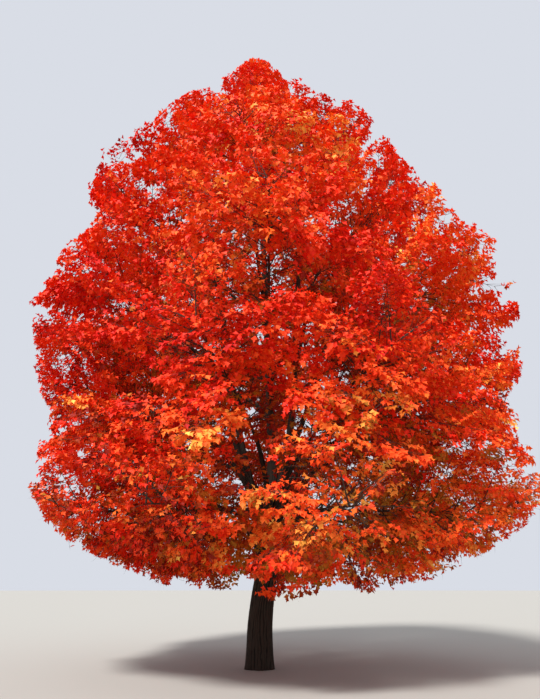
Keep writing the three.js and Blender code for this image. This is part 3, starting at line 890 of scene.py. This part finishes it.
def leaf_mesh(leaves, fold):
    """Leaves of one outline, folded along the midrib, with the blade's foot drawn out into the petiole."""
    half = np.array(LEAF_HALF)
    tip = len(half) - 1
    outline = np.concatenate([half, half[1:-1] * (-1, 1)])
    heights = fold * np.abs(outline[:, 0]) - LEAF["curl"] * outline[:, 1] ** 2
    mirror = {0: 0, tip: tip, **{i: i + tip for i in range(1, tip)}}
    faces = [*LEAF_FACES, *[tuple(mirror[i] for i in reversed(face)) for face in LEAF_FACES]]
    size = leaves.size[:, None, None]
    blade = (
        leaves.across[:, None] * outline[None, :, :1]
        + leaves.along[:, None] * outline[None, :, 1:]
        + leaves.normal[:, None] * heights[None, :, None]
    )
    blade = leaves.base[:, None] + blade * size
    blade[:, 0] = leaves.foot
    all_faces = np.array(faces)[None] + (np.arange(len(blade)) * blade.shape[1])[:, None, None]
    return blade.reshape(-1, 3), all_faces.reshape(-1, 3), len(faces)


def add_piece(name, vertices, faces, materials, material_numbers=None):
    """A piece of triangles that rides on the tree."""
    mesh = bpy.data.meshes.new(name)
    mesh.vertices.add(len(vertices))
    mesh.vertices.foreach_set("co", vertices.astype(np.float32).ravel())
    mesh.loops.add(faces.size)
    mesh.loops.foreach_set("vertex_index", faces.astype(np.int32).ravel())
    mesh.polygons.add(len(faces))
    mesh.polygons.foreach_set("loop_start", np.arange(0, faces.size, 3, dtype=np.int32))
    for material in materials:
        mesh.materials.append(material)
    if material_numbers is not None:
        mesh.polygons.foreach_set("material_index", material_numbers.astype(np.int32))
    mesh.update(calc_edges=True)
    piece = bpy.data.objects.new(name, mesh)
    bpy.context.scene.collection.objects.link(piece)
    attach(piece, BODY)
    return piece


# Bark
def lattice_noise(across, along, cells, random):
    """Smooth noise from 0 to 1 that closes on itself after a number of cells across."""
    rows = int(along.max()) + 3
    grid = random.random((rows, cells))
    i, j = np.floor(across).astype(int), np.floor(along).astype(int)
    u, v = smoothstep(across - i, 0, 1), smoothstep(along - j, 0, 1)
    i0, i1 = i % cells, (i + 1) % cells
    low = mix(grid[j, i0], grid[j, i1], u)
    high = mix(grid[j + 1, i0], grid[j + 1, i1], u)
    return mix(low, high, v)


def bark_relief(turns, along, girth, settings, random):
    """The height of the bark, from 0 in a furrow to 1 on a plate, by turn and by distance along the limb."""
    strips = max(round(girth / settings.plate_width), BARK["fewest_strips"])
    pairs = strips // 2
    rows = along / settings.plate_length
    wander = lattice_noise(turns * pairs, rows, pairs, random) - 0.5
    wobble = lattice_noise(turns * strips, rows * BARK["wobble_rows"], strips, random) - 0.5
    strip = turns * strips + BARK["wander"] * wander + BARK["wobble"] * wobble
    to_furrow = np.abs(strip - np.round(strip))
    wider = lattice_noise(turns * pairs, rows * BARK["width_rows"], pairs, random)
    width = BARK["furrow_width"] + BARK["wider"] * wider
    deeper = lattice_noise(turns * strips, rows * BARK["shallow_rows"], strips, random)
    depth = mix(BARK["shallow"], 1, smoothstep(deeper, *BARK["shallow_fade"]))
    furrow = depth * (1 - smoothstep(to_furrow / width, *BARK["furrow_edge"]))
    breaks = lattice_noise(turns * strips, rows * BARK["break_rows"], strips, random)
    cleft = 1 - smoothstep(np.abs(breaks - 0.5), 0, BARK["break_width"])
    cells = strips * BARK["grain_cells"]
    grain = lattice_noise(turns * cells, rows * BARK["grain_rows"], cells, random)
    height = 1 - furrow - BARK["break_depth"] * cleft * (1 - furrow) - BARK["grain_depth"] * grain
    return np.clip(height, 0, 1)


def bark_limb(name, points, tangents, radius_of, along, sides, girth, settings, seed):
    """A limb from a grid that is wrapped round its line, with plates and furrows as real relief."""
    rings = len(points)
    bpy.ops.object.select_all(action="DESELECT")
    bpy.ops.mesh.primitive_grid_add(x_subdivisions=sides, y_subdivisions=rings + 1, size=2, calc_uvs=False)
    limb = bpy.context.object
    limb.name = name
    mesh = limb.data
    flat = np.zeros(len(mesh.vertices) * 3, np.float32)
    mesh.vertices.foreach_get("co", flat)
    flat = flat.reshape(-1, 3)

    # Each vertex by its column round the limb and its ring along it, with a pole at each end
    columns = len(np.unique(np.round(flat[:, 0], 5)))
    lines = len(np.unique(np.round(flat[:, 1], 5)))
    column = np.round((flat[:, 0] + 1) / 2 * (columns - 1)).astype(int)
    line = np.round((flat[:, 1] + 1) / 2 * (lines - 1)).astype(int)
    is_pole = (line == 0) | (line == lines - 1)
    ring = np.clip(line - 1, 0, rings - 1)
    angles = (column % (columns - 1)) * 2 * math.pi / (columns - 1)

    across = np.zeros((rings, 3))
    guide = EAST if abs(tangents[0][0]) < ALONG_AXIS else UP
    for i, tangent in enumerate(tangents):
        guide = unit(guide - tangent * (guide @ tangent))
        across[i] = guide
    beside = np.cross(tangents, across)
    random = np.random.default_rng(seed)
    mean = radius_of(along[ring], angles)
    relief = bark_relief(angles / (2 * math.pi), along[ring] - along[0], girth, settings, random)
    depth = np.minimum((mean / TRUNK["ground_radius"]) ** BARK["thin_power"], BARK["deepest"])
    depth = settings.furrow_depth * depth
    radius = np.where(is_pole, 0, mean + depth * (relief - BARK["mean_height"]))
    spokes = across[ring] * np.cos(angles)[:, None] + beside[ring] * np.sin(angles)[:, None]
    mesh.vertices.foreach_set("co", (points[ring] + spokes * radius[:, None]).astype(np.float32).ravel())
    mesh.attributes.new("relief", "FLOAT", "POINT").data.foreach_set("value", relief.astype(np.float32))
    bpy.ops.object.mode_set(mode="EDIT")
    bpy.ops.mesh.select_all(action="SELECT")
    bpy.ops.mesh.remove_doubles(threshold=WELD_DISTANCE)
    bpy.ops.mesh.normals_make_consistent(inside=False)
    bpy.ops.object.mode_set(mode="OBJECT")
    bpy.ops.object.shade_smooth()
    return limb


def curved_limb(limb, settings, grid, number):
    """The bark of a leader or a bough, from its start in the limb that carries it to its tip."""
    length = curve_length(limb.curve)
    shares = np.linspace(0, 1, math.ceil(length / grid["step"]) + 1)
    points, tangents = on_curve(limb.curve, shares), curve_along(limb.curve, shares)

    def radius_of(distance, angles):
        return bough_radius(limb.base_radius, length, distance / length)

    return bark_limb(
        f"bark_{limb.name}", points, tangents, radius_of, shares * length, grid["sides"],
        2 * math.pi * limb.base_radius, settings, grid["seed"] + number,
    )


def joined(limbs, name):
    """The limbs as one piece."""
    bpy.ops.object.select_all(action="DESELECT")
    for limb in limbs:
        limb.select_set(True)
    bpy.context.view_layer.objects.active = limbs[0]
    if len(limbs) > 1:
        bpy.ops.object.join()
    piece = bpy.context.object
    piece.name = name
    piece.location = (0, 0, 0)
    return piece


def finish_bark(piece, nodes, material):
    """Gives a piece of bark its material and its place on the frame."""
    world = np.array(piece.matrix_world)
    piece.data.materials.clear()
    piece.data.materials.append(material)
    if not np.allclose(world, np.eye(4)):
        raise RuntimeError(f"{piece.name} doesn't lie at the origin")
    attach(piece, BODY)
    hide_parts(*nodes)


def dress_limbs(context, kind, start, name):
    """The bark of all limbs whose names start alike, as one piece."""
    settings = context.scene.maple_bark
    limbs = [limb for limb in skeleton()[0] if limb.name.startswith(start)]
    built = [curved_limb(limb, settings, BARK_GRIDS[kind], number) for number, limb in enumerate(limbs)]
    finish_bark(joined(built, name), [limb.name for limb in limbs], furrowed_maple_bark(settings))


# Materials
def add_node(tree, kind, links=None, **settings):
    """Adds a node. Settings are properties or values of inputs by name, and links join inputs to sockets."""
    node = tree.nodes.new(kind)
    for name, value in settings.items():
        socket = name.replace("_", " ")
        if hasattr(node, name):
            setattr(node, name, value)
        else:
            next(s for s in node.inputs if s.name.lower() == socket.lower()).default_value = value
    for name, source in (links or {}).items():
        tree.links.new(source, node.inputs[name])
    return node


def new_material(name):
    """A material with no nodes yet, and its node tree."""
    material = bpy.data.materials.get(name) or bpy.data.materials.new(name)
    material.use_nodes = True
    material.node_tree.nodes.clear()
    return material, material.node_tree


def furrowed_maple_bark(settings):
    """Old maple bark: dull grey-brown plates darkened with painted shade, furrows darker still with painted
    shade, and a breath of lichen.
    """
    material, tree = new_material("furrowed_maple_bark")
    place = add_node(tree, "ShaderNodeTexCoord").outputs["Object"]
    relief = add_node(tree, "ShaderNodeAttribute", attribute_name="relief").outputs["Fac"]
    plates = add_node(tree, "ShaderNodeValToRGB", {"Fac": relief})
    # Painted shade: the colour darkens from the plate's to the furrow's as the relief sinks into a furrow
    furrow, plate = plates.color_ramp.elements
    furrow.position, plate.position = OLD_BARK["heights"]
    furrow.color = (*settings.furrow_shade_colour, 1)
    plate.color = (*settings.shaded_plate_colour, 1)
    scale = 1 / settings.blotch_size
    blotches = add_node(tree, "ShaderNodeTexNoise", {"Vector": place}, Scale=scale, **BLOTCHES)
    patches = add_node(tree, "ShaderNodeValToRGB", {"Fac": blotches.outputs["Fac"]})
    bare, covered = patches.color_ramp.elements
    bare.position, covered.position = OLD_BARK["lichen"]
    lichen = add_node(tree, "ShaderNodeMix", {"Factor": patches.outputs["Color"]}, data_type="RGBA")
    tree.links.new(plates.outputs["Color"], lichen.inputs[MIX_A])
    lichen.inputs[MIX_B].default_value = (*settings.lichen_colour, 1)
    soften = add_node(tree, "ShaderNodeMix", data_type="RGBA", Factor=OLD_BARK["lichen_share"])
    tree.links.new(plates.outputs["Color"], soften.inputs[MIX_A])
    tree.links.new(lichen.outputs[MIX_RESULT], soften.inputs[MIX_B])
    scale = 1 / settings.grain_size
    grain = add_node(tree, "ShaderNodeTexNoise", {"Vector": place}, Scale=scale, **GRAIN)
    bump = add_node(
        tree, "ShaderNodeBump", {"Height": grain.outputs["Fac"]}, Strength=OLD_BARK["bump"],
        Distance=OLD_BARK["bump_height"],
    )
    shader = add_node(
        tree, "ShaderNodeBsdfPrincipled",
        {"Base Color": soften.outputs[MIX_RESULT], "Normal": bump.outputs["Normal"]},
        Roughness=OLD_BARK["roughness"], Specular_IOR_Level=OLD_BARK["sheen"],
    )
    add_node(tree, "ShaderNodeOutputMaterial", {"Surface": shader.outputs["BSDF"]})
    return material


def plain_material(name, colour, surface, glow=0):
    """A material of one colour. The glow stands for light that comes through a thin blade."""
    material, tree = new_material(name)
    shader = add_node(
        tree, "ShaderNodeBsdfPrincipled", Base_Color=(*colour, 1), Roughness=surface["roughness"],
        Specular_IOR_Level=surface["sheen"], Emission_Color=(*colour, 1), Emission_Strength=glow,
    )
    add_node(tree, "ShaderNodeOutputMaterial", {"Surface": shader.outputs["BSDF"]})
    return material


# Settings
def colour_setting(name, description, value):
    return bpy.props.FloatVectorProperty(
        name=name, description=description, default=linear(value), size=3, min=0, max=1, subtype="COLOR"
    )


def length_setting(name, description, value):
    return bpy.props.FloatProperty(
        name=name, description=description, default=value, min=0, subtype="DISTANCE", unit="LENGTH"
    )


class MapleBarkSettings(bpy.types.PropertyGroup):
    plate_width: length_setting("Plate width", "How wide a plate of bark is", 62 * MM)
    plate_length: length_setting("Plate length", "How long a plate of bark is", 420 * MM)
    furrow_depth: length_setting("Furrow depth", "How deep the furrows are at the foot of the trunk", 16 * MM)
    blotch_size: length_setting("Blotch size", "The size of paler patches on the bark", 350 * MM)
    grain_size: length_setting("Grain size", "The size of the grain on the plates", 9 * MM)
    # The plate colour is the bark's own grey-brown, darkened with painted shade like that of a trunk under
    # its crown
    shaded_plate_colour: colour_setting("Plate colour", "The colour of the plates", "#382C24")
    # The furrow colour is painted shade, darker than the plates where the relief sinks into a furrow
    furrow_shade_colour: colour_setting("Furrow colour", "The colour of the furrows", "#140E0A")
    lichen_colour: colour_setting("Lichen colour", "The colour of the paler patches", "#403A30")


class MapleTwigSettings(bpy.types.PropertyGroup):
    stem_radius: length_setting("Stem radius", "The radius of a mass's stem at its foot", 38 * MM)
    twig_radius: length_setting("Twig radius", "The radius of a main twig at its foot", 17 * MM)
    spray_radius: length_setting("Spray radius", "The radius of a spray's twig at its foot", 6 * MM)
    shoot_radius: length_setting("Shoot radius", "The radius of a leafy shoot at its foot", 2.5 * MM)
    finer_pairs: bpy.props.IntProperty(
        name="Finer pairs", description="Pairs of twigs between the main pairs on a stem", default=14, min=1
    )
    spray_spacing: length_setting("Spray spacing", "The distance between pairs of sprays", 180 * MM)
    shoot_spacing: length_setting("Shoot spacing", "The distance between pairs of shoots", 110 * MM)
    colour: colour_setting("Twig colour", "The colour of the young bark", "#40342A")


class MapleLeafSettings(bpy.types.PropertyGroup):
    length: length_setting("Leaf length", "The length of a leaf from petiole to tip", 116 * MM)
    petiole: length_setting("Petiole length", "The length of a leaf's stalk", 30 * MM)
    fold: bpy.props.FloatProperty(
        name="Fold", description="How far a leaf folds up along its midrib", default=0.35
    )
    density: bpy.props.FloatProperty(
        name="Density", description="Leaves in a cubic metre of the outer crown", default=320, min=1
    )
    full_depth: length_setting("Full depth", "How deep in the crown the leaves are still densest", 1.25)
    fade_depth: length_setting("Fade depth", "How fast the leaves grow sparser deeper in the crown", 1.0)
    glow: bpy.props.FloatProperty(
        name="Glow", description="How much light comes through a leaf in the shade", default=0.08, min=0
    )
    crimson: colour_setting("Crimson", "The deepest red of the outer crown", "#B00F05")
    deep_scarlet: colour_setting("Deep scarlet", "The deeper of the reds high up", "#CC1406")
    scarlet: colour_setting("Scarlet", "The commonest red", "#E02409")
    vermilion: colour_setting("Vermilion", "The red that turns to orange", "#E9380F")
    red_orange: colour_setting("Red-orange", "The commonest colour low down", "#F04E17")
    orange: colour_setting("Orange", "The orange of the lower sprays", "#F46B22")
    amber: colour_setting("Amber", "The paler orange of a few sprays", "#F79238")
    gold: colour_setting("Gold", "The palest leaves, of which there are few", "#F5BC55")
    # Painted shade: the duller, darker colours of leaves deep inside the crown, low down and between the pads
    shaded_red: colour_setting("Shaded red", "The red of leaves inside the crown", "#8E1A08")
    rust: colour_setting("Rust", "The red-brown of leaves inside the crown", "#A83A0E")
    copper: colour_setting("Copper", "The brown-orange of leaves inside the crown", "#B4560F")
    ochre: colour_setting("Ochre", "The dull yellow of leaves inside the crown", "#A86A1C")


class MapleStageSettings(bpy.types.PropertyGroup):
    floor_colour: colour_setting("Floor colour", "The colour of the studio floor", "#A9A59D")
    backdrop_colour: colour_setting("Backdrop colour", "The colour of the light all round", "#D9DDE6")
    backdrop_strength: bpy.props.FloatProperty(
        name="Backdrop strength", description="How strong the light all round is", default=1.0, min=0
    )
    key_strength: bpy.props.FloatProperty(
        name="Key strength", description="How strong the soft key light is", default=4.8, min=0
    )
    key_softness: bpy.props.FloatProperty(
        name="Key softness", description="How wide the key light looks from the tree",
        default=math.radians(12), subtype="ANGLE", unit="ROTATION",
    )
    camera_height: length_setting("Camera height", "The camera's height over the ground", 1.6)
    camera_distance: length_setting("Camera distance", "How far in front of the trunk the camera is", 13.4)
    camera_aside: length_setting("Camera aside", "How far to the right of the trunk the camera is", 0.232)
    camera_pitch: bpy.props.FloatProperty(
        name="Camera pitch", description="How far the camera looks up", default=math.radians(24.5),
        subtype="ANGLE", unit="ROTATION",
    )
    lens: bpy.props.FloatProperty(
        name="Lens", description="The camera's focal length", default=27.04, unit="CAMERA"
    )


def growth_of(scene):
    """The settings that shape the growth, as one value that the cache can tell from others."""
    twigs, leaves = scene.maple_twigs, scene.maple_leaves
    return Growth(
        twigs.finer_pairs, twigs.spray_spacing, twigs.shoot_spacing, leaves.length, leaves.petiole,
        leaves.density, leaves.full_depth, leaves.fade_depth,
    )


# Operators
class MAPLE_OT_trunk(bpy.types.Operator):
    """Build the trunk with its bark, from the flat cut at the ground to its tip"""

    bl_idname = "maple.trunk"
    bl_label = "Trunk"

    def execute(self, context):
        settings = context.scene.maple_bark
        grid = BARK_GRIDS["trunk"]
        lower = np.arange(0, TRUNK["fork_height"], grid["step"])
        upper = np.linspace(TRUNK["fork_height"], TRUNK["tip_height"], grid["top_rings"])
        heights = np.concatenate([lower, upper])

        def radius_of(height, angles):
            return trunk_radius(height) + flare_at(height, angles)

        tangents = np.repeat(UP[None], len(heights), axis=0)
        trunk = bark_limb(
            "bark_trunk", trunk_point(heights), tangents, radius_of, heights, grid["sides"],
            2 * math.pi * TRUNK["ground_radius"], settings, grid["seed"],
        )
        finish_bark(joined([trunk], "bark_trunk"), ["trunk"], furrowed_maple_bark(settings))
        return {"FINISHED"}


class MAPLE_OT_leaders(bpy.types.Operator):
    """Build the leaders that part from the trunk at its fork"""

    bl_idname = "maple.leaders"
    bl_label = "Leaders"

    def execute(self, context):
        dress_limbs(context, "leader", "leader", "bark_leaders")
        return {"FINISHED"}


class MAPLE_OT_boughs(bpy.types.Operator):
    """Build the boughs, tier by tier"""

    bl_idname = "maple.boughs"
    bl_label = "Boughs"

    def execute(self, context):
        for tier in TIERS:
            dress_limbs(context, "bough", f"bough_{tier['name']}", f"bark_boughs_{tier['name']}")
        return {"FINISHED"}


class MAPLE_OT_twigs(bpy.types.Operator):
    """Build the stem, the twigs and the leafy shoots of each mass"""

    bl_idname = "maple.twigs"
    bl_label = "Twigs"

    def execute(self, context):
        settings = context.scene.maple_twigs
        material = plain_material("young_maple_twig_bark", settings.colour, YOUNG_BARK)
        for number, (space, limb) in enumerate(skeleton()[1]):
            mass = grow_mass(number, growth_of(context.scene))
            foot = limb.tip - limb.along * STEM_TUBE["sunk"]
            line = np.concatenate([[foot], mass.stem])
            shares = np.linspace(0, 1, len(line)) ** STEM_TUBE["taper_power"]
            radii = mix(settings.stem_radius, settings.spray_radius, shares)
            sprays = picked(mass.sprays, mass.is_leafy)
            meshes = [
                tube_mesh(line[None], radii[None], STEM_TUBE["sides"]),
                twig_mesh(mass.twigs, (settings.twig_radius, settings.shoot_radius), rings=5, sides=4),
                twig_mesh(sprays, (settings.spray_radius, settings.shoot_radius / 2), rings=3),
                twig_mesh(mass.shoots, (settings.shoot_radius, 0), rings=2),
            ]
            vertices = np.concatenate([part for part, _ in meshes])
            offsets = np.cumsum([0] + [len(part) for part, _ in meshes[:-1]])
            faces = np.concatenate([part + offset for (_, part), offset in zip(meshes, offsets, strict=True)])
            piece = add_piece(f"twigs_{space.name}", vertices, faces, [material])
            piece.data.polygons.foreach_set("use_smooth", np.ones(len(faces), bool))
        return {"FINISHED"}


class MAPLE_OT_leaves(bpy.types.Operator):
    """Build the leaves of each mass, with their tints dealt out by spray"""

    bl_idname = "maple.leaves"
    bl_label = "Leaves"

    def execute(self, context):
        settings = context.scene.maple_leaves
        materials = [
            plain_material(f"autumn_leaf_{tint}", getattr(settings, tint), LEAF_SKIN, settings.glow)
            for tint in TINTS + SHADE_TINTS
        ]
        for number, (space, _) in enumerate(skeleton()[1]):
            mass = grow_mass(number, growth_of(context.scene))
            vertices, faces, each = leaf_mesh(mass.leaves, settings.fold)
            numbers = np.repeat(deal_tints(mass, np.random.default_rng(FOLIAGE_SEED + number)), each)
            piece = add_piece(f"foliage_{space.name}", vertices, faces, materials, numbers)
            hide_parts(f"leaves_{space.name}")
        return {"FINISHED"}


class MAPLE_OT_stage(bpy.types.Operator):
    """Build the pale floor, the soft light and the camera"""

    bl_idname = "maple.stage"
    bl_label = "Stage"

    def execute(self, context):
        settings = context.scene.maple_stage
        bpy.ops.object.select_all(action="DESELECT")
        bpy.ops.mesh.primitive_circle_add(vertices=FLOOR["sides"], radius=FLOOR["radius"], fill_type="NGON")
        floor = context.object
        floor.name = "floor"
        paint = plain_material("pale_studio_floor", settings.floor_colour, MATT_PAINT)
        floor.data.materials.append(paint)

        world = context.scene.world or bpy.data.worlds.new("backdrop")
        context.scene.world = world
        world.use_nodes = True
        world.node_tree.nodes.clear()
        back = add_node(world.node_tree, "ShaderNodeBackground")
        back.inputs["Color"].default_value = (*settings.backdrop_colour, 1)
        back.inputs["Strength"].default_value = settings.backdrop_strength
        add_node(world.node_tree, "ShaderNodeOutputWorld", {"Surface": back.outputs["Background"]})

        turn = [math.radians(angle) for angle in KEY_TURN]
        bpy.ops.object.light_add(type="SUN", location=KEY_PLACE, rotation=turn)
        key = context.object
        key.name = "soft_key"
        key.data.energy = settings.key_strength
        key.data.angle = settings.key_softness

        place = (settings.camera_aside, -settings.camera_distance, settings.camera_height)
        bpy.ops.object.camera_add(location=place, rotation=(math.pi / 2 + settings.camera_pitch, 0, 0))
        camera = context.object
        camera.data.lens = settings.lens
        camera.data.clip_end = VIEW_END
        context.scene.camera = camera
        context.scene.view_settings.view_transform = "Standard"
        return {"FINISHED"}


class MAPLE_PT_parts(bpy.types.Panel):
    """The parts of the maple and their settings"""

    bl_idname = "MAPLE_PT_parts"
    bl_label = "Sugar maple"
    bl_space_type = "VIEW_3D"
    bl_region_type = "UI"
    bl_category = "Maple"

    def draw(self, context):
        layout = self.layout
        for operator in OPERATORS:
            layout.operator(operator.bl_idname)
        for name in SETTINGS:
            settings = getattr(context.scene, name)
            box = layout.box()
            for key in settings.__annotations__:
                box.prop(settings, key)


OPERATORS = [
    MAPLE_OT_trunk, MAPLE_OT_leaders, MAPLE_OT_boughs, MAPLE_OT_twigs, MAPLE_OT_leaves, MAPLE_OT_stage,
]
SETTINGS = {
    "maple_bark": MapleBarkSettings, "maple_twigs": MapleTwigSettings, "maple_leaves": MapleLeafSettings,
    "maple_stage": MapleStageSettings,
}


def register():
    for cls in [*SETTINGS.values(), *OPERATORS, MAPLE_PT_parts]:
        bpy.utils.register_class(cls)
    for name, cls in SETTINGS.items():
        setattr(bpy.types.Scene, name, bpy.props.PointerProperty(type=cls))


def unregister():
    for name in SETTINGS:
        delattr(bpy.types.Scene, name)
    for cls in reversed([*SETTINGS.values(), *OPERATORS, MAPLE_PT_parts]):
        bpy.utils.unregister_class(cls)


def main():
    register()
    bpy.ops.maple.trunk()
    bpy.ops.maple.leaders()
    bpy.ops.maple.boughs()
    bpy.ops.maple.twigs()
    bpy.ops.maple.leaves()
    bpy.ops.maple.stage()


if __name__ == "__main__":
    main()
